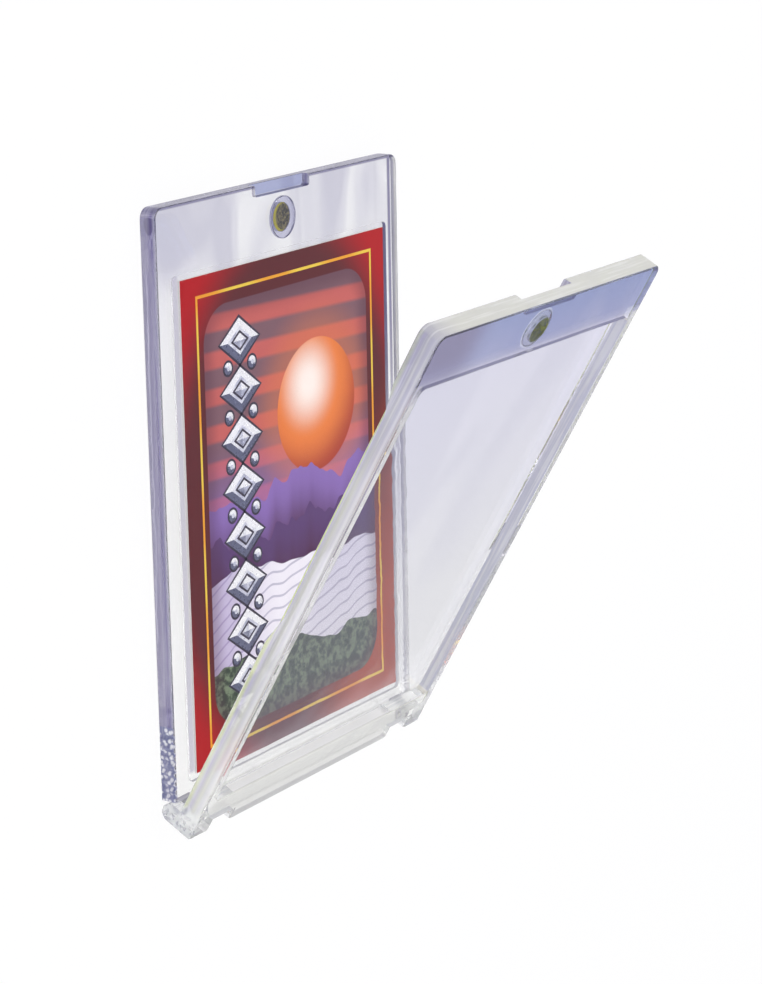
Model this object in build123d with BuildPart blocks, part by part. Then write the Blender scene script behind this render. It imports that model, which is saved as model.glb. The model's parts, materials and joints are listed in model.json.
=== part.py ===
from build123d import *
import os

# Clear two-part case for one trading card, lying on its back with the cover held partly open.
# +X runs across the case, +Y towards the magnets and +Z out of the front. The origin is the middle of
# the back face. All sizes are in millimetres and degrees.

# The card, and the pocket that it lies in
card_width = 63.5
card_height = 88.9
card_thickness = 0.5
card_shift = 0.8  # the loose card lies a little to one side
pocket_side_clearance = 1.5
pocket_end_clearance = 1.05
pocket_depth = 0.7
pocket_corner = 1.0

# The outline that both halves share, built out from the pocket
side_wall = 4.2
foot_wall = 6.35
head_wall = 12.25
corner_radius = 2.0
rear_thickness = 3.4
cover_thickness = 4.15
parting_gap = 0.05
rim_round = 0.4

# The clip hinge: ears on the cover turn on pins moulded on the rear case
cover_angle = 29.4  # how far the cover stands open
ear_radius = 1.8
ear_width = 5.4
foot_round = 0.8  # round of the lower corners between the ears and the bar
ear_side_gap = 0.3
ear_top_gap = 0.3
table_gap = 0.1  # keeps the turning ears off the table
pin_radius = 0.8
pin_length = 2.5
pin_clearance = 0.05
pin_end_gap = 0.3
bar_notch_width = 6.2  # gaps in the cover's lower bar, inboard of the ears
bar_notch_height = 2.6

# The recessed window in the cover's outer face
window_depth = 2.3
window_rail = 2.4
window_bar = 8.1
window_band = 10.9
window_corner = 1.5

# Shallow reliefs along the cover's mating edges, where fingers part the halves
relief_drop = 10.5  # from the head of the cover to the relief's upper end
relief_length = 57.0
relief_ramp = 7.0
relief_depth = 1.3

# Nail notch at the head of both halves
nail_width = 16.8
nail_height = 2.1
nail_depth = 1.6
nail_corner = 0.6

# Magnets and the clear caps that hold them, flush with the mating faces
magnet_drop = 6.7  # from the head of the case to the magnets' centres
magnet_radius = 2.6
magnet_thickness = 1.6
magnet_chamfer = 0.15
cap_radius = 3.8
cap_thickness = 0.8
seat_clearance = 0.05

# Ribbed grips low on the rear case's side edges
grip_count = 8
grip_pitch = 1.55
grip_rise = 1.2  # from the ear spaces to the first groove's centre
grip_groove = 0.5
grip_depth = 0.35

# Places that follow from the sizes above
pocket_width = card_width + 2 * pocket_side_clearance
pocket_height = card_height + 2 * pocket_end_clearance
case_width = pocket_width + 2 * side_wall
case_height = foot_wall + pocket_height + head_wall
case_side = case_width / 2
case_head = case_height / 2
case_foot = -case_head
pocket_y = case_foot + foot_wall + pocket_height / 2
pocket_floor = rear_thickness - pocket_depth

hinge_y = case_foot + ear_radius
hinge_z = ear_radius + table_gap
nose_radius = rear_thickness - hinge_z  # the rear's lower edge is round about the hinge axis
rear_foot = hinge_y - nose_radius
ear_inner = case_side - ear_width
rear_lug_side = ear_inner - ear_side_gap
ear_space_top = hinge_y + ear_radius + ear_top_gap
bore_depth = pin_length - ear_side_gap + pin_end_gap

# The cover is drawn in its own frame: origin on the hinge axis, +Y up the cover, +Z out of its face
cover_frame = Plane((0, hinge_y, hinge_z)).rotated((cover_angle, 0, 0))
cover_side_frame = Plane(cover_frame.origin, x_dir=cover_frame.y_dir, z_dir=cover_frame.x_dir)
cover_outward = Axis(cover_frame.origin, cover_frame.z_dir)
cover_upward = Axis(cover_frame.origin, cover_frame.y_dir)
cover_foot = -ear_radius
cover_head = case_height - ear_radius
mating_level = nose_radius + parting_gap
face_level = mating_level + cover_thickness
window_width = case_width - 2 * window_rail
window_height = case_height - window_bar - window_band
window_y = cover_foot + window_bar + window_height / 2

# Mating faces at the magnets, each with its Z pointing out of the plastic
magnet_seat_depth = cap_thickness + magnet_thickness
rear_magnet_face = Plane((0, case_head - magnet_drop, rear_thickness))
front_magnet_face = Plane(
    cover_frame.from_local_coords((0, cover_head - magnet_drop, mating_level)),
    x_dir=cover_frame.x_dir,
    z_dir=-cover_frame.z_dir,
)

os.makedirs("parts", exist_ok=True)


# Rear case: a plate with the card's pocket, side grips and the two hinge pins
with BuildPart() as rear_case:
    with BuildSketch(Plane.XY) as rear_outline:
        with Locations((0, (rear_foot + case_head) / 2)):
            Rectangle(case_width, case_head - rear_foot)
        fillet(rear_outline.vertices().group_by(Axis.Y)[-1], radius=corner_radius)
        # Each lower corner is cut away, to make room for an ear of the cover
        with Locations((-case_side, rear_foot), (case_side, rear_foot)):
            Rectangle(2 * (case_side - rear_lug_side), 2 * (ear_space_top - rear_foot), mode=Mode.SUBTRACT)
    extrude(amount=rear_thickness)
    # The lower front edge is rounded, so that the cover's bar can turn past it
    fillet(rear_case.edges().group_by(Axis.Z)[-1].sort_by(Axis.Y)[0], radius=nose_radius)
    rims = rear_case.edges().group_by(Axis.Z)[0] + rear_case.edges().group_by(Axis.Z)[-1]
    fillet(rims.filter_by_position(Axis.Y, ear_space_top + rim_round, case_head), radius=rim_round)

    with BuildSketch(Plane.XY.offset(rear_thickness)):
        with Locations((0, pocket_y)):
            RectangleRounded(pocket_width, pocket_height, pocket_corner)
    extrude(amount=-pocket_depth, mode=Mode.SUBTRACT)

    with BuildSketch(Plane.XY.offset(rear_thickness)):
        with Locations((0, case_head)):
            RectangleRounded(nail_width, 2 * nail_height, nail_corner)
    extrude(amount=-nail_depth, mode=Mode.SUBTRACT)

    with Locations(rear_magnet_face):
        CounterBoreHole(
            radius=magnet_radius + seat_clearance,
            counter_bore_radius=cap_radius + seat_clearance,
            counter_bore_depth=cap_thickness,
            depth=magnet_seat_depth,
        )

    # Grooves across both side edges
    grip_x = case_side + grip_groove - grip_depth
    grip_y = ear_space_top + grip_rise + (grip_count - 1) * grip_pitch / 2
    with BuildSketch(Plane.XY):
        with Locations((0, grip_y)):
            with GridLocations(2 * grip_x, grip_pitch, 2, grip_count):
                Circle(grip_groove)
    extrude(amount=rear_thickness, mode=Mode.SUBTRACT)

    for side in (-1, 1):
        with BuildSketch(Plane.YZ.offset(side * rear_lug_side)):
            with Locations((hinge_y, hinge_z)):
                Circle(pin_radius)
        extrude(amount=side * pin_length)
rear_case.part.label = "rear_case"
export_step(rear_case.part, "parts/rear_case.step")


# Front cover: a plate with a recessed window, and two ears that clip over the pins
with BuildPart() as front_cover:
    with BuildSketch(cover_frame.offset(mating_level)) as cover_outline:
        with Locations((0, (cover_foot + cover_head) / 2)):
            Rectangle(case_width, case_height)
        fillet(cover_outline.vertices().group_by(Axis.Y)[-1], radius=corner_radius)
        bar_notch_x = ear_inner - bar_notch_width / 2
        with Locations((-bar_notch_x, cover_foot), (bar_notch_x, cover_foot)):
            Rectangle(bar_notch_width, 2 * bar_notch_height, mode=Mode.SUBTRACT)
    extrude(amount=cover_thickness)
    mating_rim = front_cover.edges().group_by(cover_outward)[0]
    fillet(mating_rim.group_by(cover_upward)[-1], radius=rim_round)

    # Ears, as thick as the closed case and round about the hinge axis at the back
    for side in (-1, 1):
        with BuildSketch(cover_side_frame.offset(side * ear_inner)):
            Circle(ear_radius)
            with Locations((0, face_level / 2)):
                Rectangle(2 * ear_radius, face_level)
        extrude(amount=side * ear_width)
    foot_edges = front_cover.edges().group_by(cover_upward)[0].filter_by(cover_outward)
    fillet(foot_edges.filter_by_position(Axis.X, -ear_inner, ear_inner), radius=foot_round)
    fillet(front_cover.edges().group_by(cover_outward)[-1], radius=rim_round)
    for side in (-1, 1):
        with BuildSketch(cover_side_frame.offset(side * ear_inner)):
            Circle(pin_radius + pin_clearance)
        extrude(amount=side * bore_depth, mode=Mode.SUBTRACT)

    with BuildSketch(cover_frame.offset(face_level)):
        with Locations((0, window_y)):
            RectangleRounded(window_width, window_height, window_corner)
    extrude(amount=-window_depth, mode=Mode.SUBTRACT)

    with BuildSketch(cover_frame.offset(mating_level)):
        with Locations((0, cover_head)):
            RectangleRounded(nail_width, 2 * nail_height, nail_corner)
    extrude(amount=nail_depth, mode=Mode.SUBTRACT)

    with Locations(front_magnet_face):
        CounterBoreHole(
            radius=magnet_radius + seat_clearance,
            counter_bore_radius=cap_radius + seat_clearance,
            counter_bore_depth=cap_thickness,
            depth=magnet_seat_depth,
        )

    # Finger reliefs with ramped ends, as wide as the window's rails
    relief_head = cover_head - relief_drop
    relief_foot = relief_head - relief_length
    relief_level = mating_level + relief_depth
    for side in (-1, 1):
        with BuildSketch(cover_side_frame.offset(side * case_side)):
            with BuildLine():
                Polyline(
                    (relief_foot, mating_level),
                    (relief_foot + relief_ramp, relief_level),
                    (relief_head - relief_ramp, relief_level),
                    (relief_head, mating_level),
                    close=True,
                )
            make_face()
        extrude(amount=-side * window_rail, mode=Mode.SUBTRACT)
front_cover.part.label = "front_cover"
export_step(front_cover.part, "parts/front_cover.step")


# The card lies on the floor of the pocket
with BuildPart() as trading_card:
    with BuildSketch(Plane.XY.offset(pocket_floor)):
        with Locations((card_shift, pocket_y)):
            Rectangle(card_width, card_height)
    extrude(amount=card_thickness)
trading_card.part.label = "trading_card"
export_step(trading_card.part, "parts/trading_card.step")


# Disc magnets, each against the bottom of its pocket, with its cap over it
with BuildPart() as rear_magnet:
    with BuildSketch(rear_magnet_face.offset(-magnet_seat_depth)):
        Circle(magnet_radius)
    extrude(amount=magnet_thickness)
    chamfer(rear_magnet.edges(), length=magnet_chamfer)
rear_magnet.part.label = "rear_magnet"
export_step(rear_magnet.part, "parts/rear_magnet.step")

with BuildPart() as rear_magnet_cap:
    with BuildSketch(rear_magnet_face.offset(-cap_thickness)):
        Circle(cap_radius)
    extrude(amount=cap_thickness)
rear_magnet_cap.part.label = "rear_magnet_cap"
export_step(rear_magnet_cap.part, "parts/rear_magnet_cap.step")

with BuildPart() as front_magnet:
    with BuildSketch(front_magnet_face.offset(-magnet_seat_depth)):
        Circle(magnet_radius)
    extrude(amount=magnet_thickness)
    chamfer(front_magnet.edges(), length=magnet_chamfer)
front_magnet.part.label = "front_magnet"
export_step(front_magnet.part, "parts/front_magnet.step")

with BuildPart() as front_magnet_cap:
    with BuildSketch(front_magnet_face.offset(-cap_thickness)):
        Circle(cap_radius)
    extrude(amount=cap_thickness)
front_magnet_cap.part.label = "front_magnet_cap"
export_step(front_magnet_cap.part, "parts/front_magnet_cap.step")
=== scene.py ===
import json
import math

import bmesh
import bpy
from mathutils import Matrix, Vector


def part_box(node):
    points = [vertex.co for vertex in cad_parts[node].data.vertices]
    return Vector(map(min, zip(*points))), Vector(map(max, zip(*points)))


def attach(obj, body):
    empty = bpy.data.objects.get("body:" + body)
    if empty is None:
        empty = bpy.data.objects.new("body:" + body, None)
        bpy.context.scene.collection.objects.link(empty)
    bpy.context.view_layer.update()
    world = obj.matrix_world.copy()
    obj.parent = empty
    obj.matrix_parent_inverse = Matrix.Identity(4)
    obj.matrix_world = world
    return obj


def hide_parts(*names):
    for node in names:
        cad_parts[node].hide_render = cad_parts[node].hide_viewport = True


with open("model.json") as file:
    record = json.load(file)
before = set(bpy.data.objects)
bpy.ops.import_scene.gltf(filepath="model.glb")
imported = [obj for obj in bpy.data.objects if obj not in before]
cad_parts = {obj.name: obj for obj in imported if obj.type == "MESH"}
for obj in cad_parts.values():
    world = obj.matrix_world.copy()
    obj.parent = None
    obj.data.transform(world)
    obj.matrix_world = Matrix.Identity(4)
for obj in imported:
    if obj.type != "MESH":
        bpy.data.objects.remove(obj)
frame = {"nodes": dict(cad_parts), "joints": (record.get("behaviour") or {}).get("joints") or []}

# Clear two-part case for one trading card. The case lies on its back, with +Y towards the magnets and
# +Z out of the front. Lengths are in metres.
scene = bpy.context.scene
scene.view_settings.view_transform = "Standard"
# Light is passed on through many faces of the clear plastic
for kind in ("max_bounces", "glossy_bounces", "transmission_bounces", "transparent_max_bounces"):
    setattr(scene.cycles, kind, 32)
nodes = frame["nodes"]
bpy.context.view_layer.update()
millimetre = 0.001


# Helpers for shader trees
def linearColour(hexCode):
    values = [int(hexCode[i:i + 2], 16) / 255 for i in (1, 3, 5)]
    return (*[v / 12.92 if v <= 0.04045 else ((v + 0.055) / 1.055) ** 2.4 for v in values], 1)


def plug(tree, socket, value):
    if isinstance(value, bpy.types.NodeSocket):
        tree.links.new(value, socket)
    elif value is not None:
        socket.default_value = value


def addNode(tree, kind, values=None, **settings):
    node = tree.nodes.new("ShaderNode" + kind)
    for name, value in settings.items():
        setattr(node, name, value)
    for name, value in (values or {}).items():
        plug(tree, node.inputs[name], value)
    return node


def maths(tree, operation, *values):
    node = addNode(tree, "Math", operation=operation)
    for socket, value in zip(node.inputs, values):
        plug(tree, socket, value)
    return node.outputs[0]


def along(tree, vector, axis):
    node = addNode(tree, "VectorMath", operation="DOT_PRODUCT")
    plug(tree, node.inputs[0], vector)
    plug(tree, node.inputs[1], axis)
    return node.outputs["Value"]


def rampUp(tree, value, low, high):
    # 0 below low, 1 above high and smooth between them
    node = addNode(tree, "MapRange", {"Value": value, "From Min": low, "From Max": high})
    node.interpolation_type = "SMOOTHSTEP"
    return node.outputs[0]


def blendColours(tree, mask, below, above):
    node = addNode(tree, "Mix", data_type="RGBA")
    for index, value in zip((0, 6, 7), (mask, below, above)):
        plug(tree, node.inputs[index], value)
    return node.outputs[2]


def distanceFrom(tree, across, up, place):
    offX, offY = maths(tree, "SUBTRACT", across, place[0]), maths(tree, "SUBTRACT", up, place[1])
    squares = maths(tree, "ADD", maths(tree, "POWER", offX, 2.0), maths(tree, "POWER", offY, 2.0))
    return maths(tree, "SQRT", squares)


def newMaterial(name):
    material = bpy.data.materials.new(name)
    material.use_nodes = True
    tree = material.node_tree
    tree.nodes.clear()
    return material, tree, tree.nodes.new("ShaderNodeOutputMaterial")


def dress(piece, material):
    for slot in piece.material_slots:
        slot.material = material


def seenDirectly(tree):
    # 1 for rays from the camera, and for those that mirrors and glass send on
    path = addNode(tree, "LightPath")
    mirrored = maths(tree, "MAXIMUM", path.outputs["Is Camera Ray"], path.outputs["Is Glossy Ray"])
    return maths(tree, "MAXIMUM", mirrored, path.outputs["Is Transmission Ray"])


# Camera, at the photograph's viewing angle
cameraSettings = {
    "place": (-0.427319, 0.131862, 0.304659),
    "right": (0.54616, -0.01798, 0.83749),
    "up": (0.21872, 0.96815, -0.12185),
    "lens": 108.07,
}
cameraData = bpy.data.cameras.new("camera")
cameraData.lens = cameraSettings["lens"]
cameraData.clip_start = 0.01
camera = bpy.data.objects.new("camera", cameraData)
cameraRight = Vector(cameraSettings["right"]).normalized()
cameraBack = cameraRight.cross(Vector(cameraSettings["up"])).normalized()
cameraTurn = Matrix((cameraRight, cameraBack.cross(cameraRight), cameraBack)).transposed().to_4x4()
camera.matrix_world = Matrix.Translation(cameraSettings["place"]) @ cameraTurn
scene.collection.objects.link(camera)
scene.camera = camera
print("camera placed")


# Floor, lamps and world
studioSettings = {
    "floorSize": 6.0,
    "floorDrop": 0.0002,  # keeps the floor's face off the face of the case that rests on it
    "floorColour": (0.93, 0.93, 0.94, 1),
    "floorGlow": 0.9,  # the rest shows the lamps' light, and so the shadow
    "skyColour": (0.72, 0.72, 0.75, 1),
    "rimColour": (0.60, 0.60, 0.68, 1),
    "skyStrength": 1.0,
    # A dark flag stands low beyond the hinge, where the open cover mirrors it
    "flagTowards": (0.80, -0.60, 0.05),
    "flagSpread": (0.80, 0.95),
    "flagFoot": (0.0, 0.012),
    "flagColour": (0.33, 0.33, 0.385, 1),
}
floorMesh = bpy.data.meshes.new("floor")
half, drop = studioSettings["floorSize"] / 2, studioSettings["floorDrop"]
floorMesh.from_pydata(
    [(-half, -half, -drop), (half, -half, -drop), (half, half, -drop), (-half, half, -drop)], [], [(0, 1, 2, 3)]
)
floor = bpy.data.objects.new("floor", floorMesh)
scene.collection.objects.link(floor)
floorPaint, tree, output = newMaterial("floorPaint")
matt = addNode(tree, "BsdfDiffuse", {"Color": studioSettings["floorColour"]})
glow = addNode(tree, "Emission", {"Color": (1, 1, 1, 1), "Strength": 1.0})
share = maths(tree, "MULTIPLY", seenDirectly(tree), studioSettings["floorGlow"])
floorLook = addNode(tree, "MixShader", {0: share, 1: matt.outputs[0], 2: glow.outputs[0]})
tree.links.new(floorLook.outputs[0], output.inputs["Surface"])
floorMesh.materials.append(floorPaint)

world = bpy.data.worlds.new("studio")
scene.world = world
world.use_nodes = True
tree = world.node_tree
tree.nodes.clear()
direction = addNode(tree, "TexCoord").outputs["Generated"]
skyHeight = addNode(tree, "SeparateXYZ", {0: direction}).outputs["Z"]
sky = blendColours(
    tree, rampUp(tree, skyHeight, 0.0, 0.75), studioSettings["rimColour"], studioSettings["skyColour"]
)
flagTowards = Vector(studioSettings["flagTowards"]).normalized()
flag = rampUp(tree, along(tree, direction, flagTowards), *studioSettings["flagSpread"])
flag = maths(tree, "MULTIPLY", flag, rampUp(tree, skyHeight, *studioSettings["flagFoot"]))
sky = blendColours(tree, flag, sky, studioSettings["flagColour"])
background = addNode(tree, "Background", {"Color": sky, "Strength": studioSettings["skyStrength"]})
worldOutput = tree.nodes.new("ShaderNodeOutputWorld")
tree.links.new(background.outputs[0], worldOutput.inputs["Surface"])

lampSettings = {
    "topLamp": {"place": (0.1, 0.25, 1.1), "size": (0.9, 0.6), "watts": 4.0, "colour": (1.0, 0.99, 0.97)},
    "sideLamp": {"place": (-0.9, -0.3, 0.55), "size": (0.5, 0.8), "watts": 2.6, "colour": (0.97, 0.98, 1.0)},
    "headLamp": {"place": (0.2, 1.1, 0.5), "size": (0.8, 0.3), "watts": 2.0, "colour": (1.0, 0.97, 0.9)},
}
for lampName, lamp in lampSettings.items():
    light = bpy.data.lights.new(lampName, "AREA")
    light.shape = "RECTANGLE"
    light.size, light.size_y = lamp["size"]
    light.energy = lamp["watts"]
    light.color = lamp["colour"]
    lampObject = bpy.data.objects.new(lampName, light)
    towards = -Vector(lamp["place"])
    lampObject.rotation_euler = towards.to_track_quat("-Z", "Y").to_euler()
    lampObject.location = lamp["place"]
    scene.collection.objects.link(lampObject)
print("studio lit")


# Clear moulded plastic. Each half is drawn from the hinge: up is towards the magnets, out is out of its face.
hinge = frame["joints"][0]
hingePlace = Vector(hinge["pos_m"])
openAngle = math.radians(-hinge["range_deg"][0])
rearAxes = {"up": Vector((0, 1, 0)), "out": Vector((0, 0, 1))}
coverAxes = {
    "up": Vector((0, math.cos(openAngle), math.sin(openAngle))),
    "out": Vector((0, -math.sin(openAngle), math.cos(openAngle))),
}


def colourStops(tree, value, stops):
    # stops are pairs of a place from 0 to 1 and a colour
    node = addNode(tree, "ValToRGB", {0: value})
    elements = node.color_ramp.elements
    while len(elements) < len(stops):
        elements.new(0.5)
    for element, (position, colour) in zip(elements, stops):
        element.position = position
        element.color = colour
    return node.outputs[0]


def fade(tree, share, one, other):
    node = addNode(tree, "Mix", data_type="FLOAT")
    for index, value in zip((0, 2, 3), (share, one, other)):
        plug(tree, node.inputs[index], value)
    return node.outputs[0]


def zoneMask(tree, at, zone):
    # 1 inside a box, or within a radius of a place up the middle, with soft sides. Zones are in millimetres.
    # A zone with a fade dies away slowly along its length.
    soft = zone.get("soft", 0.15)
    margins = {"across": soft, "up": zone.get("fade", soft), "out": soft}
    mask = 1.0
    for name in ("across", "up", "out"):
        if name in zone:
            low, high = zone[name]
            off = maths(tree, "ABSOLUTE", maths(tree, "SUBTRACT", at[name], (low + high) / 2))
            half = (high - low) / 2
            mask = maths(tree, "MULTIPLY", mask, rampUp(tree, off, half + margins[name], half - margins[name]))
    if "radius" in zone:
        off = distanceFrom(tree, at["across"], at["up"], (0.0, zone["centre"]))
        mask = maths(tree, "MULTIPLY", mask, rampUp(tree, off, zone["radius"] + soft, zone["radius"] - soft))
    return maths(tree, "MULTIPLY", mask, zone.get("share", 1.0))


def newGroup(name, inputs, outputs):
    # A shader group, with its named numbers going in and its named values coming out
    group = bpy.data.node_groups.new(name, "ShaderNodeTree")
    for label, value in inputs.items():
        kind = "Color" if isinstance(value, tuple) else "Float"
        socket = group.interface.new_socket(label, in_out="INPUT", socket_type="NodeSocket" + kind)
        socket.default_value = value
    for label, kind in outputs.items():
        group.interface.new_socket(label, in_out="OUTPUT", socket_type="NodeSocket" + kind)
    return group, group.nodes.new("NodeGroupInput").outputs, group.nodes.new("NodeGroupOutput").inputs


def useGroup(tree, group, values):
    node = tree.nodes.new("ShaderNodeGroup")
    node.node_tree = group
    for label, value in values.items():
        plug(tree, node.inputs[label], value)
    return node.outputs


def mouldFlowAndGlintsGroup():
    # Faint clouds, streaks drawn along the edges, sparkles and a slightly wavy surface, for all the clear plastic. The
    # sparkles are a grid of specks; where a zone gives them a bright colour they are painted glints.
    group, given, made = newGroup(
        "mouldFlowAndGlints",
        {"Across": 0.0, "Up": 0.0, "Out": 0.0, "Cloud Size": 20.0, "Sparkle Pitch": 1.55},
        {"Clouds": "Float", "Streaks": "Float", "Sparkles": "Float", "Waves": "Float"},
    )
    place = addNode(group, "CombineXYZ", {"X": given["Across"], "Y": given["Up"], "Z": given["Out"]}).outputs[0]
    turned = addNode(group, "Mapping", {"Vector": place, "Rotation": (0.0, 0.0, 0.6), "Scale": (1.0, 0.45, 1.0)})
    size = addNode(group, "VectorMath", operation="SCALE")
    plug(group, size.inputs[0], turned.outputs[0])
    plug(group, size.inputs["Scale"], maths(group, "DIVIDE", 1.0, given["Cloud Size"]))
    clouds = addNode(group, "TexNoise", {"Vector": size.outputs[0], "Scale": 1.0, "Detail": 1.5, "Distortion": 0.8})
    group.links.new(rampUp(group, clouds.outputs["Fac"], 0.42, 0.60), made["Clouds"])
    drawn = addNode(group, "Mapping", {"Vector": place, "Scale": (0.08, 0.05, 1.9)})
    streaks = addNode(group, "TexNoise", {"Vector": drawn.outputs[0], "Scale": 1.0, "Detail": 3.0})
    group.links.new(rampUp(group, streaks.outputs["Fac"], 0.45, 0.65), made["Streaks"])
    pitch = maths(group, "DIVIDE", 1.0, given["Sparkle Pitch"])
    grid = addNode(group, "CombineXYZ", {
        "X": 0.5, "Y": maths(group, "MULTIPLY", given["Up"], pitch), "Z": maths(group, "MULTIPLY", given["Out"], 1.05)
    })
    cells = addNode(group, "TexVoronoi", {"Vector": grid.outputs[0], "Scale": 1.0, "Randomness": 0.75})
    group.links.new(rampUp(group, cells.outputs["Distance"], 0.55, 0.22), made["Sparkles"])
    waves = addNode(group, "TexNoise", {"Vector": place, "Scale": 0.06, "Detail": 2.0})
    group.links.new(waves.outputs["Fac"], made["Waves"])
    return group


mouldFlowAndGlints = mouldFlowAndGlintsGroup()


def clearPlastic(name, axes, settings):
    material, tree, output = newMaterial(name)
    coordinates = addNode(tree, "TexCoord")
    place, facing = coordinates.outputs["Object"], coordinates.outputs["Normal"]
    fromHinge = addNode(tree, "VectorMath", operation="SUBTRACT")
    plug(tree, fromHinge.inputs[0], place)
    plug(tree, fromHinge.inputs[1], hingePlace)
    at = {
        key: maths(tree, "DIVIDE", along(tree, fromHinge.outputs[0], axis), millimetre)
        for key, axis in (("across", Vector((1, 0, 0))), ("up", axes["up"]), ("out", axes["out"]))
    }
    upShare = maths(tree, "DIVIDE", at["up"], settings["height"])
    outShare = maths(tree, "DIVIDE", maths(tree, "SUBTRACT", at["out"], settings["base"]), settings["thickness"])
    flow = useGroup(tree, mouldFlowAndGlints, {
        "Across": at["across"], "Up": at["up"], "Out": at["out"], "Cloud Size": settings["cloudSize"],
        "Sparkle Pitch": settings["sparklePitch"],
    })

    # Faces: tinted by where they are, with faint clouds. Some face zones are painted shadow and painted shade lines, as
    # the settings say.
    cloudMask = maths(tree, "MULTIPLY", flow["Clouds"], settings["cloudShare"])
    cloudMask = maths(tree, "MULTIPLY", cloudMask, rampUp(tree, at["up"], *settings["cloudReach"]))
    tint = blendColours(tree, cloudMask, colourStops(tree, upShare, settings["faceTints"]), settings["cloudTint"])
    for zone in settings["faceZones"]:
        tint = blendColours(tree, zoneMask(tree, at, zone), tint, zone["tint"])
    glass = addNode(tree, "BsdfPrincipled", {
        "Base Color": tint, "Roughness": 0.0, "IOR": settings["bending"], "Transmission Weight": 1.0,
    })
    bump = addNode(tree, "Bump", {"Height": flow["Waves"], "Distance": settings["waveHeight"]})
    tree.links.new(bump.outputs[0], glass.inputs["Normal"])

    # Side edges: a little frosted, with streaks along them; their tints include painted highlights, reflections and
    # shade lines, as the settings say. A window can have a thin veil.
    sideways = maths(tree, "ABSOLUTE", along(tree, facing, axes["out"]))
    edgeMask = rampUp(tree, sideways, 0.7, 0.25)
    lengthways = maths(tree, "ABSOLUTE", along(tree, facing, axes["up"]))
    endMask = rampUp(tree, lengthways, 0.4, 0.7)
    edgeTint = blendColours(tree, endMask, colourStops(tree, outShare, settings["sideTints"]), settings["endTint"])
    frost = fade(tree, endMask, settings["frostShare"], settings["endFrost"])
    for zone in settings["edgeZones"]:
        mask = zoneMask(tree, at, zone)
        edgeTint = blendColours(tree, mask, edgeTint, zone["tint"])
        if "sparkle" in zone:
            sparkles = maths(tree, "MULTIPLY", mask, flow["Sparkles"])
            edgeTint = blendColours(tree, sparkles, edgeTint, zone["sparkle"])
        frost = fade(tree, mask, frost, zone["frost"])
    streakMask = maths(tree, "MULTIPLY", flow["Streaks"], settings["streakShare"])
    edgeTint = blendColours(tree, streakMask, edgeTint, settings["streakTint"])
    coverage = maths(tree, "MULTIPLY", edgeMask, frost)
    for zone in settings["veils"]:
        veil = maths(tree, "SUBTRACT", zoneMask(tree, at, zone), edgeMask)
        coverage = maths(tree, "MAXIMUM", coverage, veil)
        edgeTint = blendColours(tree, rampUp(tree, veil, 0.0, 0.05), edgeTint, zone["tint"])
    frosted = addNode(tree, "BsdfPrincipled", {"Base Color": edgeTint, "Roughness": 0.3, "Coat Weight": 0.2})
    tree.links.new(bump.outputs[0], frosted.inputs["Normal"])
    edge = addNode(tree, "MixShader", {0: coverage, 1: glass.outputs[0], 2: frosted.outputs[0]})

    # Lamps shine through
    passing = addNode(tree, "BsdfTransparent", {"Color": settings["shade"]})
    path = addNode(tree, "LightPath")
    look = addNode(tree, "MixShader", {0: path.outputs["Is Shadow Ray"], 1: edge.outputs[0], 2: passing.outputs[0]})
    tree.links.new(look.outputs[0], output.inputs["Surface"])
    depth = addNode(tree, "VolumeAbsorption", {"Color": settings["depthColour"], "Density": settings["depth"]})
    tree.links.new(depth.outputs[0], output.inputs["Volume"])
    return material


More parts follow.
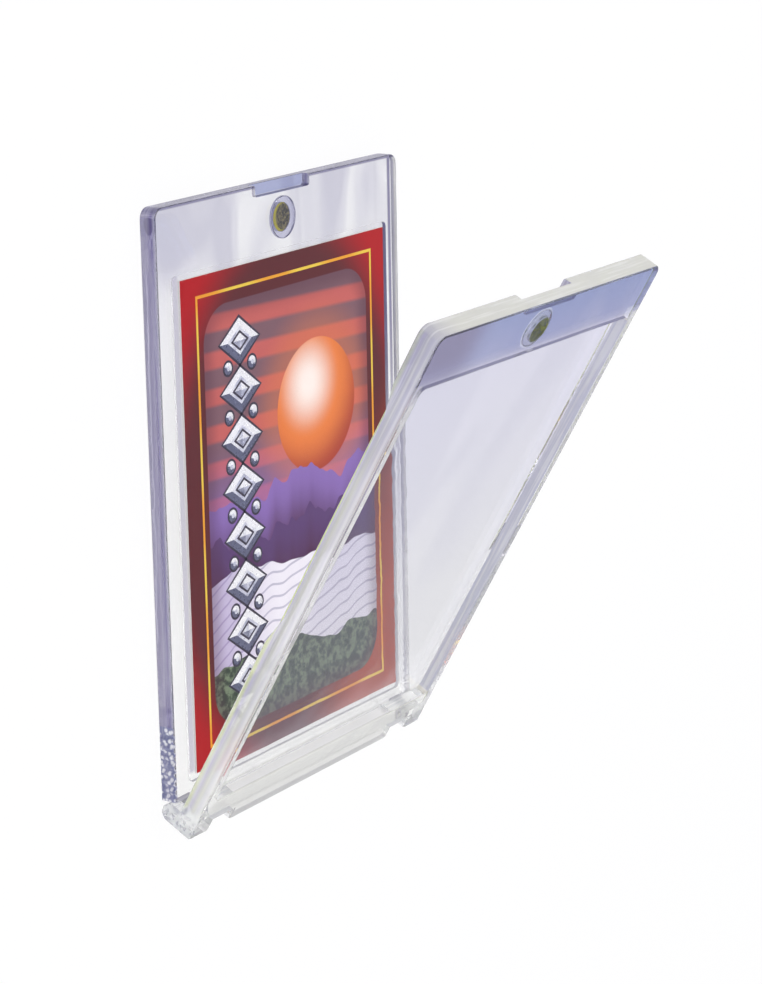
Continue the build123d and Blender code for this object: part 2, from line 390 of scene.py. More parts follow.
rearPlasticSettings = {
    "base": -1.9, "thickness": 3.4, "height": 108.0,  # from the hinge, in millimetres
    "bending": 1.49, "waveHeight": 0.00002,
    "cloudSize": 16.0, "cloudShare": 0.7, "cloudTint": (0.54, 0.53, 0.65, 1), "cloudReach": (84.0, 98.0),
    "faceTints": (
        (0.0, (1.0, 1.0, 0.99, 1)), (0.1, (0.99, 0.99, 0.98, 1)), (0.5, (0.93, 0.93, 0.92, 1)),
        (1.0, (0.88, 0.88, 0.91, 1)),
    ),
    "faceZones": (
        {"across": (-8.4, 8.4), "up": (105.7, 109.0), "out": (-1.2, 1.2), "tint": (0.20, 0.23, 0.48, 1)},
        # Painted shadow: a darker strip on the pocket floor along the card's left edge, where the card casts its
        # shadow.
        {"across": (-32.6, -30.9), "up": (6.0, 96.0), "out": (0.4, 1.1), "tint": (0.45, 0.42, 0.56, 1), "soft": 0.4},
        # Painted shade line: a dark violet line on the front face just beside the right pocket wall, standing for the
        # dark refraction of the wall's corner. It fades out towards the hinge.
        {"across": (33.95, 34.95), "up": (50.0, 170.0), "out": (1.3, 1.7), "tint": (0.06, 0.05, 0.15, 1), "soft": 0.25,
         "fade": 30.0},
        {"across": (-37.0, 37.0), "up": (107.3, 107.8), "out": (1.0, 1.7), "tint": (0.12, 0.11, 0.22, 1)},
    ),
    "frostShare": 0.6, "endFrost": 0.9,
    "sideTints": (
        (0.0, (0.36, 0.34, 0.44, 1)), (0.5, (0.28, 0.25, 0.42, 1)), (0.68, (0.13, 0.10, 0.30, 1)),
        (0.78, (0.14, 0.11, 0.32, 1)), (0.88, (0.32, 0.30, 0.45, 1)), (1.0, (0.55, 0.55, 0.66, 1)),
    ),
    "endTint": (0.12, 0.11, 0.22, 1),
    "streakTint": (0.42, 0.40, 0.54, 1), "streakShare": 0.5,
    "sparklePitch": 1.0,
    "edgeZones": (
        {"across": (-33.8, 33.8), "up": (3.0, 97.0), "out": (0.7, 1.6), "tint": (1.0, 1.0, 1.0, 1), "frost": 0.35},
        # Painted shade line: the right pocket wall is frosted dark violet for the same dark refraction line, fading out
        # towards the hinge.
        {"across": (32.9, 33.8), "up": (50.0, 170.0), "out": (0.7, 1.6), "tint": (0.13, 0.12, 0.27, 1), "frost": 0.85,
         "fade": 30.0},
        {"across": (36.0, 38.0), "up": (-4.0, 107.0), "out": (-2.2, -0.4), "tint": (0.42, 0.41, 0.52, 1), "frost": 0.85},
        {"across": (36.0, 38.0), "up": (-4.0, 107.0), "out": (-0.4, 1.7), "tint": (0.78, 0.78, 0.72, 1), "frost": 0.7},
        # Painted glints: near the hinge the left side face is frosted dark blue with white specks, which stand for
        # light sparkling in the plastic there.
        {"across": (-38.0, -36.0), "up": (-4.0, 16.0), "out": (-3.0, 1.4), "tint": (0.14, 0.16, 0.32, 1),
         "sparkle": (1.0, 1.0, 1.0, 1), "frost": 0.7},
        {"radius": 4.2, "centre": 101.1, "out": (-1.0, 1.4), "tint": (0.26, 0.26, 0.52, 1), "frost": 0.8},
    ),
    "veils": (
        {"across": (33.9, 37.2), "up": (-60.0, 40.0), "out": (1.1, 1.8), "share": 0.35, "tint": (1.0, 1.0, 1.0, 1),
         "fade": 30.0},
    ),
    "shade": (0.96, 0.96, 0.98, 1),
    "depthColour": (0.30, 0.27, 0.60, 1), "depth": 4.0,
}
coverPlasticSettings = {
    "base": 0.0, "thickness": 5.7, "height": 108.0,
    "bending": 1.49, "waveHeight": 0.00002,
    "cloudSize": 22.0, "cloudShare": 0.2, "cloudTint": (0.66, 0.66, 0.80, 1), "cloudReach": (20.0, 60.0),
    "faceTints": (
        (0.0, (0.74, 0.74, 0.72, 1)), (0.055, (0.76, 0.76, 0.74, 1)), (0.06, (1.0, 1.0, 1.0, 1)),
        (0.35, (0.98, 0.98, 1.0, 1)), (0.89, (0.88, 0.87, 1.0, 1)), (0.897, (0.60, 0.58, 0.74, 1)),
        (0.915, (0.41, 0.44, 0.70, 1)), (1.0, (0.34, 0.40, 0.68, 1)),
    ),
    "faceZones": (
        {"across": (-42.0, -22.0), "up": (96.9, 112.0), "tint": (0.32, 0.30, 0.46, 1), "soft": 5.0},
        {"radius": 4.2, "centre": 101.1, "out": (1.0, 5.2), "tint": (0.97, 0.97, 0.99, 1)},
        {"across": (35.2, 38.0), "up": (-2.0, 98.0), "tint": (1.0, 1.0, 1.0, 1)},
        {"across": (-38.0, -35.2), "up": (-2.0, 94.0), "tint": (0.97, 0.97, 0.94, 1)},
    ),
    "frostShare": 0.5, "endFrost": 0.85,
    # Painted highlights and reflections: the bands across the side faces, from the mating face outwards, copy the
    # yellow-green, lavender, cream and white bands of light that the clear edge shows.
    "sideTints": (
        (0.27, (0.55, 0.66, 0.10, 1)), (0.38, (0.68, 0.74, 0.34, 1)), (0.48, (0.56, 0.52, 0.72, 1)),
        (0.58, (0.60, 0.60, 0.62, 1)), (0.66, (0.74, 0.74, 0.62, 1)), (0.8, (0.78, 0.77, 0.84, 1)),
        (0.9, (1.0, 1.0, 0.98, 1)), (1.0, (0.72, 0.72, 0.62, 1)),
    ),
    "endTint": (0.66, 0.66, 0.59, 1),
    "streakTint": (0.93, 0.93, 0.90, 1), "streakShare": 0.35,
    "sparklePitch": 1.2,
    "edgeZones": (
        {"across": (33.0, 36.0), "up": (7.0, 96.0), "out": (3.3, 5.8), "tint": (0.40, 0.42, 0.56, 1), "frost": 0.6},
        {"across": (-34.0, 34.0), "up": (5.0, 7.2), "out": (3.2, 5.5), "tint": (1.0, 1.0, 1.0, 1), "frost": 0.05},
        {"across": (-50.0, -36.0), "up": (80.0, 140.0), "soft": 8.0, "tint": (0.36, 0.35, 0.48, 1), "frost": 0.85},
        {"across": (-35.2, 35.2), "up": (96.5, 97.3), "out": (3.3, 5.6), "tint": (0.24, 0.23, 0.36, 1), "frost": 0.8},
        {"up": (-6.0, 3.0), "tint": (0.92, 0.95, 0.93, 1), "frost": 0.3, "soft": 1.0, "sparkle": (0.55, 0.56, 0.62, 1)},
        {"across": (-8.7, 8.7), "up": (105.2, 107.7), "out": (1.4, 3.3), "tint": (0.45, 0.40, 0.46, 1), "frost": 0.7},
        {"across": (-33.0, 33.0), "up": (-3.0, -0.6), "tint": (0.97, 0.97, 0.97, 1), "frost": 0.7},
        {"radius": 4.3, "centre": 101.1, "out": (1.0, 5.0), "tint": (1.0, 1.0, 0.99, 1), "frost": 0.95,
         "sparkle": (0.35, 0.38, 0.30, 1)},
    ),
    "veils": (
        {"across": (35.2, 38.0), "up": (3.0, 98.0), "share": 0.2, "tint": (1.0, 1.0, 1.0, 1)},
        {"across": (-38.0, -35.2), "up": (3.0, 98.0), "share": 0.2, "tint": (1.0, 1.0, 0.98, 1)},
    ),
    "shade": (0.97, 0.97, 0.98, 1),
    "depthColour": (0.5, 0.5, 0.6, 1), "depth": 3.0,
}
rearPlastic = clearPlastic("rearPlastic", rearAxes, rearPlasticSettings)
coverPlastic = clearPlastic("coverPlastic", coverAxes, coverPlasticSettings)
dress(nodes["rear_case"], rearPlastic)
dress(nodes["front_cover"], coverPlastic)
print("plastic dressed")


# Clear caps over the magnets: discs with a chamfered rim, just off the ledge that carries them
capSettings = {"chamfer": 0.00016, "ledgeGap": 0.00002, "segments": 96}


def makeCap(name, node, outward, material, body, settings):
    low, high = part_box(node)
    radius = (high.x - low.x) / 2
    rearLow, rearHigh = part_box("rear_magnet_cap")
    half = (rearHigh.z - rearLow.z) / 2
    chamfer, count = settings["chamfer"], settings["segments"]
    outline = (
        (0.0, -half + settings["ledgeGap"]), (radius, -half + settings["ledgeGap"]),
        (radius, half - chamfer), (radius - chamfer, half), (0.0, half),
    )
    mesh = bmesh.new()
    rings = [
        [mesh.verts.new((r * math.cos(2 * math.pi * i / count), r * math.sin(2 * math.pi * i / count), z))
         for i in range(count if r else 1)]
        for r, z in outline
    ]
    for lower, upper in zip(rings, rings[1:]):
        for i in range(count):
            corners = [lower[i % len(lower)], lower[(i + 1) % len(lower)], upper[(i + 1) % len(upper)], upper[i % len(upper)]]
            mesh.faces.new(list(dict.fromkeys(corners)))
    sideways = Vector((1, 0, 0))
    turn = Matrix((sideways, outward.cross(sideways), outward)).transposed().to_4x4()
    mesh.transform(Matrix.Translation((low + high) / 2) @ turn)
    bmesh.ops.recalc_face_normals(mesh, faces=mesh.faces[:])
    data = bpy.data.meshes.new(name)
    mesh.to_mesh(data)
    mesh.free()
    data.materials.append(material)
    cap = bpy.data.objects.new(name, data)
    scene.collection.objects.link(cap)
    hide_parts(node)
    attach(cap, body)
    return cap


rearCapPlastic = clearPlastic("rearCapPlastic", rearAxes, {
    **rearPlasticSettings, "faceZones": (), "edgeZones": (), "veils": (), "frostShare": 0.75,
    "faceTints": ((0.0, (0.66, 0.66, 0.80, 1)), (1.0, (0.66, 0.66, 0.80, 1))),
    "sideTints": ((0.0, (0.50, 0.50, 0.68, 1)), (1.0, (0.62, 0.62, 0.76, 1))),
})
coverCapPlastic = clearPlastic("coverCapPlastic", coverAxes, {
    **coverPlasticSettings, "faceZones": (), "edgeZones": (), "veils": (), "frostShare": 0.95,
    "faceTints": ((0.0, (0.95, 0.95, 0.95, 1)), (1.0, (0.88, 0.88, 0.93, 1))),
    "sideTints": ((0.0, (0.92, 0.93, 0.95, 1)), (1.0, (0.92, 0.93, 0.95, 1))),
})
makeCap("rear_cap", "rear_magnet_cap", rearAxes["out"], rearCapPlastic, "rear", capSettings)
makeCap("front_cap", "front_magnet_cap", -coverAxes["out"], coverCapPlastic, "cover", capSettings)
print("caps seated")


# Wear of metal surfaces, for the magnets' plating and the foil
def metalWearGroup():
    group, given, made = newGroup(
        "metalWear", {"Scale": 1800.0, "Detail": 3.0}, {"Wear": "Float", "Grain": "Float"}
    )
    place = addNode(group, "TexCoord").outputs["Object"]
    for label, finer in (("Wear", 1.0), ("Grain", 4.0)):
        noise = addNode(group, "TexNoise", {
            "Vector": place, "Scale": maths(group, "MULTIPLY", given["Scale"], finer), "Detail": given["Detail"]
        })
        group.links.new(noise.outputs["Fac"], made[label])
    return group


metalWear = metalWearGroup()


# Magnets: plated discs, mottled on the face, with the rim colour on their sides and round the face's edge, and a
# painted highlight on one side of the rear one's face
def magnetPlating(name, node, axes, settings):
    material, tree, output = newMaterial(name)
    coordinates = addNode(tree, "TexCoord")
    wear = useGroup(tree, metalWear, {"Scale": settings["blotchScale"], "Detail": 4.0})
    mottled = blendColours(tree, rampUp(tree, wear["Wear"], 0.46, 0.54), settings["dark"], settings["light"])
    flecks = maths(tree, "MULTIPLY", rampUp(tree, wear["Grain"], 0.5, 0.65), 0.4)
    mottled = blendColours(tree, flecks, mottled, settings["fleck"])
    # Painted highlight: the rim colour also forms a band round the edge of the face, moved sideways so that on the rear
    # magnet it widens on one side into a bright crescent, where light would catch the plated rim. The disc's sides take
    # the rim colour too.
    low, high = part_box(node)
    shifted = addNode(tree, "VectorMath", operation="SUBTRACT")
    plug(tree, shifted.inputs[0], coordinates.outputs["Object"])
    plug(tree, shifted.inputs[1], (low + high) / 2 + Vector((settings["paintedLightLean"], 0, 0)))
    across = maths(tree, "DIVIDE", along(tree, shifted.outputs[0], Vector((1, 0, 0))), millimetre)
    up = maths(tree, "DIVIDE", along(tree, shifted.outputs[0], axes["up"]), millimetre)
    off = distanceFrom(tree, across, up, (0.0, 0.0))
    mottled = blendColours(tree, rampUp(tree, off, 2.25, 2.65), mottled, settings["rim"])
    flat = rampUp(tree, maths(tree, "ABSOLUTE", along(tree, coordinates.outputs["Normal"], axes["out"])), 0.75, 0.95)
    colour = blendColours(tree, flat, settings["rim"], mottled)
    metal = addNode(tree, "BsdfPrincipled", {
        "Base Color": colour, "Metallic": 0.2, "Roughness": maths(tree, "MULTIPLY_ADD", wear["Grain"], 0.3, 0.4),
        "Specular IOR Level": settings["gloss"],
    })
    bump = addNode(tree, "Bump", {"Height": wear["Wear"], "Distance": settings["dents"]})
    tree.links.new(bump.outputs[0], metal.inputs["Normal"])
    tree.links.new(metal.outputs[0], output.inputs["Surface"])
    return material


dress(nodes["rear_magnet"], magnetPlating("rearPlating", "rear_magnet", rearAxes, {
    "blotchScale": 1700.0, "dents": 0.00010, "paintedLightLean": 0.0006, "gloss": 0.1,
    "dark": (0.003, 0.003, 0.002, 1), "light": (0.26, 0.22, 0.07, 1), "fleck": (0.60, 0.51, 0.15, 1),
    "rim": linearColour("#D8CE20"),
}))
dress(nodes["front_magnet"], magnetPlating("coverPlating", "front_magnet", coverAxes, {
    "blotchScale": 1100.0, "dents": 0.00004, "paintedLightLean": 0.0, "gloss": 0.5,
    "dark": (0.15, 0.165, 0.0, 1), "light": (0.40, 0.44, 0.0, 1), "fleck": (0.66, 0.70, 0.03, 1),
    "rim": linearColour("#C9CC9A"),
}))
print("magnets dressed")


# The card: coated stock with a printed front and back, a stamped frame line and a chain of foil lozenges
cardSettings = {
    "airGap": 0.00003,  # between the card and the floor of its pocket
    "edgeRound": 0.00008,
    "borderDark": "#5A2125", "borderBright": "#AE0C14", "borderWarm": "#A8441F",
    "skyLight": "#C4625C", "skyDark": "#7D5B63", "skyStripe": 6.6,
    "panelHalf": (25.5, 38.5), "panelRound": 7.0, "panelShade": "#4A2238",
    "sunPlace": (8.5, 15.0), "sunRadius": 12.5,
    "sunCore": "#FFF1E4", "sunMiddle": "#E9803F", "sunRim": "#A8412F",
    "farHill": "#8A6DB0", "nearHill": "#5A3F6E",
    "field": "#EEEAF0", "fieldLine": "#8F8AA6", "fieldPitch": 2.3,
    "meadow": "#77866C", "meadowDark": "#39443A",
}
cardLow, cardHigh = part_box("trading_card")
cardMiddle = (cardLow + cardHigh) / 2
cardHalf = (cardHigh - cardLow) / 2 / millimetre


def cardPlaces(tree):
    # Millimetres across and up the card from its middle
    place = addNode(tree, "Mapping", {
        "Vector": addNode(tree, "TexCoord").outputs["Object"],
        "Location": -cardMiddle / millimetre,
        "Scale": (1 / millimetre,) * 3,
    })
    parts = addNode(tree, "SeparateXYZ", {0: place.outputs[0]})
    return place.outputs[0], parts.outputs["X"], parts.outputs["Y"]


def softBox(tree, across, up, halfSize, corner):
    # How far outside a rounded rectangle a place lies, in millimetres, and below 0 inside it
    outX = maths(tree, "SUBTRACT", maths(tree, "ABSOLUTE", across), halfSize[0] - corner)
    outY = maths(tree, "SUBTRACT", maths(tree, "ABSOLUTE", up), halfSize[1] - corner)
    cornerX, cornerY = maths(tree, "MAXIMUM", outX, 0.0), maths(tree, "MAXIMUM", outY, 0.0)
    squares = maths(tree, "ADD", maths(tree, "POWER", cornerX, 2.0), maths(tree, "POWER", cornerY, 2.0))
    inside = maths(tree, "MINIMUM", maths(tree, "MAXIMUM", outX, outY), 0.0)
    return maths(tree, "SUBTRACT", maths(tree, "ADD", maths(tree, "SQRT", squares), inside), corner)


def hillLine(tree, across, base, rise, pitch, seed):
    # The height of a line of hills above the card's middle
    noise = addNode(tree, "TexNoise", noise_dimensions="1D")
    plug(tree, noise.inputs["W"], maths(tree, "ADD", maths(tree, "DIVIDE", across, pitch), seed))
    plug(tree, noise.inputs["Scale"], 1.0)
    plug(tree, noise.inputs["Detail"], 2.5)
    return maths(tree, "ADD", maths(tree, "MULTIPLY", maths(tree, "SUBTRACT", noise.outputs[0], 0.5), rise), base)


def stripes(tree, along, pitch, low, high):
    # 1 on the stripes and 0 between them
    wave = maths(tree, "SINE", maths(tree, "MULTIPLY", along, 2 * math.pi / pitch))
    return rampUp(tree, wave, low, high)


def inkGrainGroup():
    # Fine unevenness of ink and coating, for the printed faces and the edges of the card
    group, given, made = newGroup(
        "inkGrain", {"Colour": (1.0, 1.0, 1.0, 1.0), "Amount": 0.1},
        {"Colour": "Color", "Roughness": "Float", "Height": "Float"},
    )
    place = addNode(group, "TexCoord").outputs["Object"]
    fine = addNode(group, "TexNoise", {"Vector": place, "Scale": 5200.0, "Detail": 2.0}).outputs["Fac"]
    broad = addNode(group, "TexNoise", {"Vector": place, "Scale": 260.0, "Detail": 3.0}).outputs["Fac"]
    both = maths(group, "ADD", maths(group, "MULTIPLY", fine, 0.7), maths(group, "MULTIPLY", broad, 0.3))
    shade = maths(group, "MULTIPLY_ADD", maths(group, "SUBTRACT", both, 0.5), given["Amount"], 1.0)
    grey = addNode(group, "CombineColor", {0: shade, 1: shade, 2: shade}).outputs[0]
    mixed = addNode(group, "Mix", data_type="RGBA", blend_type="MULTIPLY")
    for index, value in ((0, 1.0), (6, given["Colour"]), (7, grey)):
        plug(group, mixed.inputs[index], value)
    group.links.new(mixed.outputs[2], made["Colour"])
    group.links.new(maths(group, "MULTIPLY_ADD", broad, 0.16, 0.24), made["Roughness"])
    group.links.new(fine, made["Height"])
    return group


inkGrain = inkGrainGroup()


def printedCoat(tree, output, colour, grain, coat):
    ink = useGroup(tree, inkGrain, {"Colour": colour, "Amount": grain})
    bump = addNode(tree, "Bump", {"Height": ink["Height"], "Distance": 0.000004})
    paper = addNode(tree, "BsdfPrincipled", {
        "Base Color": ink["Colour"], "Roughness": ink["Roughness"], "Normal": bump.outputs[0],
        "Specular IOR Level": 0.25, "Coat Weight": coat, "Coat Roughness": 0.12,
    })
    tree.links.new(paper.outputs[0], output.inputs["Surface"])


def cardFront(settings):
    material, tree, output = newMaterial("cardFront")
    place, across, up = cardPlaces(tree)
    # Red border, brightest in the corners
    reach = distanceFrom(
        tree, maths(tree, "DIVIDE", across, cardHalf.x), maths(tree, "DIVIDE", up, cardHalf.y), (0.0, 0.0)
    )
    border = blendColours(
        tree, rampUp(tree, reach, 1.0, 1.3),
        linearColour(settings["borderDark"]), linearColour(settings["borderBright"]),
    )
    warm = rampUp(tree, maths(tree, "SUBTRACT", across, maths(tree, "MULTIPLY", up, 0.5)), 20.0, 42.0)
    border = blendColours(tree, warm, border, linearColour(settings["borderWarm"]))
    # Evening sky in stripes, deeper towards the hills
    wavyUp = maths(tree, "ADD", up, maths(tree, "MULTIPLY", across, 0.04))
    skyMask = stripes(tree, wavyUp, settings["skyStripe"], -0.35, 0.55)
    sky = blendColours(tree, skyMask, linearColour(settings["skyDark"]), linearColour(settings["skyLight"]))
    low = maths(tree, "SUBTRACT", 1.0, rampUp(tree, up, -2.0, 16.0))
    sky = blendColours(tree, maths(tree, "MULTIPLY", low, 0.6), sky, linearColour(settings["farHill"]))
    # Sun, lit from above
    fromSun = distanceFrom(tree, across, up, settings["sunPlace"])
    glowPlace = (settings["sunPlace"][0] - 2.5, settings["sunPlace"][1] + 4.5)
    fromGlow = distanceFrom(tree, across, up, glowPlace)
    sun = blendColours(
        tree, rampUp(tree, fromGlow, 1.0, 10.5), linearColour(settings["sunCore"]), linearColour(settings["sunMiddle"])
    )
    sun = blendColours(tree, rampUp(tree, fromGlow, 9.5, 18.0), sun, linearColour(settings["sunRim"]))
    radius = settings["sunRadius"]
    halo = maths(tree, "MULTIPLY", maths(tree, "SUBTRACT", 1.0, rampUp(tree, fromSun, radius, radius + 9.0)), 0.35)
    picture = blendColours(tree, halo, sky, linearColour(settings["sunMiddle"]))
    onSun = maths(tree, "SUBTRACT", 1.0, rampUp(tree, fromSun, radius - 0.15, radius + 0.15))
    picture = blendColours(tree, onSun, picture, sun)
    # Two lines of hills, a pale field with thin furrows and a meadow
    for base, rise, pitch, seed, colour in (
        (3.0, 16.0, 12.0, 4.3, settings["farHill"]),
        (-5.0, 15.0, 10.0, 9.1, settings["nearHill"]),
    ):
        line = hillLine(tree, across, base, rise, pitch, seed)
        under = maths(tree, "SUBTRACT", line, up)
        shaded = blendColours(
            tree, rampUp(tree, under, 0.0, 14.0), linearColour(colour), linearColour(settings["panelShade"])
        )
        picture = blendColours(tree, rampUp(tree, under, -0.1, 0.1), picture, shaded)
    fieldLine = hillLine(tree, across, -12.0, 13.0, 26.0, 2.2)
    under = maths(tree, "SUBTRACT", fieldLine, up)
    furrow = maths(tree, "ADD", under, maths(tree, "MULTIPLY", across, 0.22))
    furrows = maths(tree, "MULTIPLY", stripes(tree, furrow, settings["fieldPitch"], 0.72, 0.95), 0.55)
    field = blendColours(tree, furrows, linearColour(settings["field"]), linearColour(settings["fieldLine"]))
    field = blendColours(
        tree, maths(tree, "MULTIPLY", rampUp(tree, across, -4.0, -24.0), 0.55), field, linearColour(settings["farHill"])
    )
    picture = blendColours(tree, rampUp(tree, under, -0.1, 0.1), picture, field)
    meadowLine = hillLine(tree, across, -28.0, 9.0, 18.0, 7.7)
    under = maths(tree, "SUBTRACT", meadowLine, up)
    tufts = addNode(tree, "TexNoise", {"Vector": place, "Scale": 0.55, "Detail": 5.0, "Roughness": 0.65})
    meadow = blendColours(
        tree, rampUp(tree, tufts.outputs["Fac"], 0.42, 0.62),
        linearColour(settings["meadowDark"]), linearColour(settings["meadow"]),
    )
    picture = blendColours(tree, rampUp(tree, under, -0.1, 0.1), picture, meadow)
    # The picture's panel, with a soft dark edge
    outside = softBox(tree, across, up, settings["panelHalf"], settings["panelRound"])
    picture = blendColours(
        tree, maths(tree, "MULTIPLY", rampUp(tree, outside, -4.5, 0.0), 0.45), picture,
        linearColour(settings["panelShade"]),
    )
    whole = blendColours(tree, rampUp(tree, outside, -0.12, 0.12), picture, border)
    printedCoat(tree, output, whole, 0.16, 0.08)
    return material


def cardBack(settings):
    material, tree, output = newMaterial("cardBack")
    place, across, up = cardPlaces(tree)
    paper, red = linearColour("#E4DED2"), linearColour(settings["borderDark"])
    outer = softBox(tree, across, up, (cardHalf.x - 3.0, cardHalf.y - 3.0), 3.0)
    inner = softBox(tree, across, up, (cardHalf.x - 6.5, cardHalf.y - 6.5), 2.0)
    # Crossed lines make a lattice of lozenges
    one = maths(tree, "ADD", across, maths(tree, "MULTIPLY", up, 0.7))
    other = maths(tree, "SUBTRACT", across, maths(tree, "MULTIPLY", up, 0.7))
    lattice = maths(tree, "MAXIMUM", stripes(tree, one, 5.2, 0.8, 0.95), stripes(tree, other, 5.2, 0.8, 0.95))
    panel = blendColours(tree, maths(tree, "MULTIPLY", lattice, 0.6), linearColour("#B9A9C4"), paper)
    colour = blendColours(tree, rampUp(tree, inner, -0.1, 0.1), panel, red)
    colour = blendColours(tree, rampUp(tree, outer, -0.1, 0.1), colour, paper)
    printedCoat(tree, output, colour, 0.2, 0.1)
    return material


def cardStock():
    material, tree, output = newMaterial("cardStock")
    printedCoat(tree, output, linearColour("#EDEAE4"), 0.35, 0.0)
    return material


def makeCard(settings):
    mesh = bmesh.new()
    low = cardLow + Vector((0, 0, settings["airGap"]))
    bmesh.ops.create_cube(mesh, size=1.0)
    for vert in mesh.verts:
        vert.co = Vector(low[i] if vert.co[i] < 0 else cardHigh[i] for i in range(3))
    bmesh.ops.bevel(
        mesh, geom=mesh.edges[:], offset=settings["edgeRound"], segments=2, affect="EDGES", profile=0.5
    )
    mesh.normal_update()
    for face in mesh.faces:
        face.material_index = 0 if face.normal.z > 0.9 else 1 if face.normal.z < -0.9 else 2
    data = bpy.data.meshes.new("card")
    mesh.to_mesh(data)
    mesh.free()
    for material in (cardFront(settings), cardBack(settings), cardStock()):
        data.materials.append(material)
    card = bpy.data.objects.new("card", data)
    scene.collection.objects.link(card)
    return card


card = makeCard(cardSettings)
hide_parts("trading_card")
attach(card, "rear")
print("card printed")


# Foil stamped on the card: a gold frame line, and a chain of silver lozenges with dark outlines
foilSettings = {
    "thick": 0.000012,
    "frameInset": (0.0043, 0.0034),
    "frameWidth": 0.00055,
    "gold": ("#F7A82E", "#F6D24A"),
    "silver": ("#6C6F86", "#C9CBDB", "#FFFFFF"),
    "ink": "#221D2B",
    "chainPlace": (-0.0150, 0.0),  # across and up from the card's middle
    "count": 8, "pitch": 0.0089,
    "halfWidth": 0.0058, "halfHeight": 0.0041,
    "outline": 0.0006, "rise": 0.00010, "bead": 0.0011,
}


def foilLook(name, colourFrom, roughness, metallic):
    material, tree, output = newMaterial(name)
    colour = colourFrom(tree)
    wear = useGroup(tree, metalWear, {"Scale": 900.0, "Detail": 2.0})["Wear"]
    foil = addNode(tree, "BsdfPrincipled", {
        "Base Color": colour,
        "Metallic": metallic,
        "Roughness": maths(tree, "MULTIPLY_ADD", wear, 0.12, roughness),
    })
    bump = addNode(tree, "Bump", {"Height": wear, "Distance": 0.0000008})
    tree.links.new(bump.outputs[0], foil.inputs["Normal"])
    tree.links.new(foil.outputs[0], output.inputs["Surface"])
    return material


def goldColour(tree):
    place, across, up = cardPlaces(tree)
    bands = stripes(tree, maths(tree, "ADD", across, up), 21.0, -0.8, 0.8)
    return blendColours(tree, bands, *[linearColour(c) for c in foilSettings["gold"]])


def silverColour(tree):
    # Painted reflection: each facet's tone comes from the way it faces, so the facets look lit and shaded and every
    # lozenge shows a painted dark horizon; a slow swirl drifts the tones
    facing = addNode(tree, "TexCoord").outputs["Normal"]
    paintedLightLean = along(tree, facing, Vector((0.45, 0.9, 0.0)))
    paintedFacetLight = maths(tree, "MULTIPLY_ADD", paintedLightLean, 18.0, 0.55)
    place, across, up = cardPlaces(tree)
    swirl = addNode(tree, "TexNoise", {"Vector": place, "Scale": 0.35, "Detail": 1.0}).outputs["Fac"]
    paintedFacetLight = maths(tree, "ADD", paintedFacetLight, maths(tree, "MULTIPLY", maths(tree, "SUBTRACT", swirl, 0.5), 0.9))
    low, middle, high = [linearColour(c) for c in foilSettings["silver"]]
    return colourStops(tree, paintedFacetLight, ((0.1, low), (0.45, middle), (0.75, high)))


def inkColour(tree):
    place = addNode(tree, "TexCoord").outputs["Object"]
    patches = addNode(tree, "TexNoise", {"Vector": place, "Scale": 700.0}).outputs["Fac"]
    return blendColours(tree, patches, linearColour(foilSettings["ink"]), linearColour("#3A3348"))


goldFoil = foilLook("goldFoil", goldColour, 0.25, 0.35)
silverFoil = foilLook("silverFoil", silverColour, 0.22, 0.45)
outlineInk = foilLook("outlineInk", inkColour, 0.3, 0.0)


def makeFrameLine(settings):
    mesh = bmesh.new()
    bottom, top = cardHigh.z - settings["thick"] / 2, cardHigh.z + settings["thick"]
    loops = []
    for inset in (0.0, settings["frameWidth"]):
        halfX = (cardHigh.x - cardLow.x) / 2 - settings["frameInset"][0] - inset
        halfY = (cardHigh.y - cardLow.y) / 2 - settings["frameInset"][1] - inset
        for z in (bottom, top):
            loops.append([
                mesh.verts.new((cardMiddle.x + x * halfX, cardMiddle.y + y * halfY, z))
                for x, y in ((-1, -1), (1, -1), (1, 1), (-1, 1))
            ])
    outerLow, outerHigh, innerLow, innerHigh = loops
    for one, other in ((outerLow, outerHigh), (outerHigh, innerHigh), (innerHigh, innerLow), (innerLow, outerLow)):
        for i in range(4):
            mesh.faces.new((one[i], one[(i + 1) % 4], other[(i + 1) % 4], other[i]))
    bmesh.ops.recalc_face_normals(mesh, faces=mesh.faces[:])
    data = bpy.data.meshes.new("foil_frame")
    mesh.to_mesh(data)
    mesh.free()
    data.materials.append(goldFoil)
    line = bpy.data.objects.new("foil_frame", data)
    scene.collection.objects.link(line)
    return line


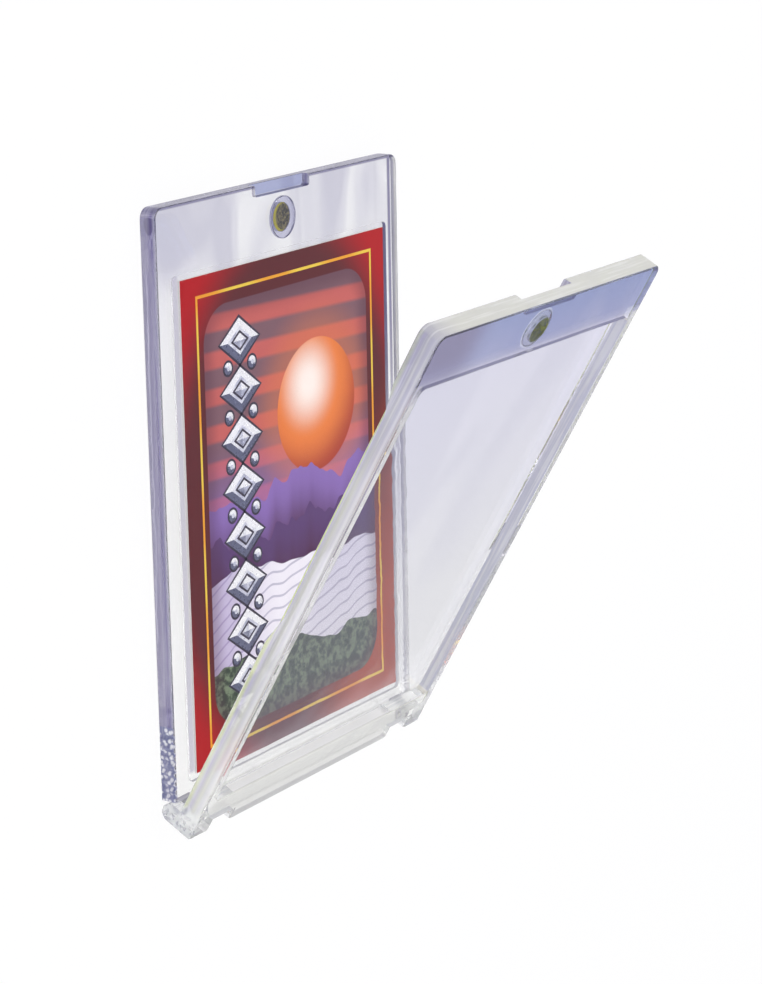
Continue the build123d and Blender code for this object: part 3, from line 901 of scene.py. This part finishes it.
def foilChainTree():
    tree = bpy.data.node_groups.new("foilChain", "GeometryNodeTree")
    for name, kind in (
        ("Count", "Int"), ("Pitch", "Float"), ("Half Width", "Float"), ("Half Height", "Float"),
        ("Outline", "Float"), ("Rise", "Float"), ("Bead", "Float"), ("Start", "Vector"),
    ):
        tree.interface.new_socket(name, in_out="INPUT", socket_type="NodeSocket" + kind)
    tree.interface.new_socket("Geometry", in_out="OUTPUT", socket_type="NodeSocketGeometry")
    given, made = tree.nodes.new("NodeGroupInput"), tree.nodes.new("NodeGroupOutput")

    def add(kind, values=None, **settings):
        node = tree.nodes.new(kind)
        for name, value in settings.items():
            setattr(node, name, value)
        for name, value in (values or {}).items():
            plug(tree, node.inputs[name], value)
        return node

    def number(operation, *values):
        node = add("ShaderNodeMath", operation=operation)
        for socket, value in zip(node.inputs, values):
            plug(tree, socket, value)
        return node.outputs[0]

    def vector(x, y, z):
        return add("ShaderNodeCombineXYZ", {"X": x, "Y": y, "Z": z}).outputs[0]

    def stud(sides, halfX, halfY, rise, base, top, material):
        # A flat-topped stud with its base at the given height
        cone = add("GeometryNodeMeshCone", {
            "Vertices": sides, "Radius Top": top, "Radius Bottom": 1.0, "Depth": 1.0
        })
        placed = add("GeometryNodeTransform", {
            "Geometry": cone.outputs["Mesh"], "Scale": vector(halfX, halfY, rise), "Translation": vector(0.0, 0.0, base)
        })
        return add("GeometryNodeSetMaterial", {"Geometry": placed.outputs[0], "Material": material}).outputs[0]

    def joined(*parts):
        node = add("GeometryNodeJoinGeometry")
        for part in reversed(parts):
            tree.links.new(part, node.inputs[0])
        return node.outputs[0]

    halfX, halfY, rise = given.outputs["Half Width"], given.outputs["Half Height"], given.outputs["Rise"]
    border, bead = given.outputs["Outline"], given.outputs["Bead"]
    plate = number("MULTIPLY", rise, 0.15)
    lozenge = joined(
        stud(4, number("ADD", halfX, border), number("ADD", halfY, border), plate, 0.0, 1.0, outlineInk),
        stud(4, halfX, halfY, rise, plate, 0.62, silverFoil),
        stud(4, number("MULTIPLY", halfX, 0.46), number("MULTIPLY", halfY, 0.46), plate,
             number("ADD", rise, plate), 1.0, outlineInk),
        stud(4, number("MULTIPLY", halfX, 0.34), number("MULTIPLY", halfY, 0.34), plate,
             number("ADD", rise, number("MULTIPLY", plate, 2.0)), 0.1, silverFoil),
    )
    wideBead = number("ADD", bead, number("MULTIPLY", border, 0.7))
    pearl = joined(
        stud(20, wideBead, wideBead, plate, 0.0, 1.0, outlineInk),
        stud(20, bead, bead, rise, plate, 0.4, silverFoil),
    )
    step = vector(0.0, number("MULTIPLY", given.outputs["Pitch"], -1.0), 0.0)
    lozengeLine = add("GeometryNodeMeshLine", {
        "Count": given.outputs["Count"], "Start Location": given.outputs["Start"], "Offset": step
    })
    parts = [add("GeometryNodeInstanceOnPoints", {"Points": lozengeLine.outputs[0], "Instance": lozenge}).outputs[0]]
    beadCount = number("SUBTRACT", given.outputs["Count"], 1.0)
    for side in (-1.0, 1.0):
        offset = vector(
            number("MULTIPLY", halfX, 0.62 * side), number("MULTIPLY", given.outputs["Pitch"], -0.5), 0.0
        )
        start = add("ShaderNodeVectorMath", operation="ADD")
        plug(tree, start.inputs[0], given.outputs["Start"])
        plug(tree, start.inputs[1], offset)
        beadLine = add("GeometryNodeMeshLine", {
            "Count": beadCount, "Start Location": start.outputs[0], "Offset": step
        })
        parts.append(add("GeometryNodeInstanceOnPoints", {"Points": beadLine.outputs[0], "Instance": pearl}).outputs[0])
    whole = add("GeometryNodeRealizeInstances", {"Geometry": joined(*parts)})
    tree.links.new(whole.outputs[0], made.inputs["Geometry"])
    return tree


def makeFoilChain(settings):
    maker = bpy.data.objects.new("foilChainMaker", bpy.data.meshes.new("foilChainMaker"))
    modifier = maker.modifiers.new("foilChain", "NODES")
    modifier.node_group = foilChainTree()
    span = (settings["count"] - 1) * settings["pitch"] / 2
    start = (cardMiddle.x + settings["chainPlace"][0], cardMiddle.y + settings["chainPlace"][1] + span, cardHigh.z)
    values = {
        "Count": settings["count"], "Pitch": settings["pitch"], "Half Width": settings["halfWidth"],
        "Half Height": settings["halfHeight"], "Outline": settings["outline"], "Rise": settings["rise"],
        "Bead": settings["bead"], "Start": start,
    }
    for socket in modifier.node_group.interface.items_tree:
        if socket.in_out == "INPUT":
            modifier[socket.identifier] = values[socket.name]
    scene.collection.objects.link(maker)
    made = maker.evaluated_get(bpy.context.evaluated_depsgraph_get())
    chain = bpy.data.objects.new("foil_chain", bpy.data.meshes.new_from_object(made))
    bpy.data.objects.remove(maker)
    scene.collection.objects.link(chain)
    return chain


for foil in (makeFrameLine(foilSettings), makeFoilChain(foilSettings)):
    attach(foil, "rear")
print("foil stamped")
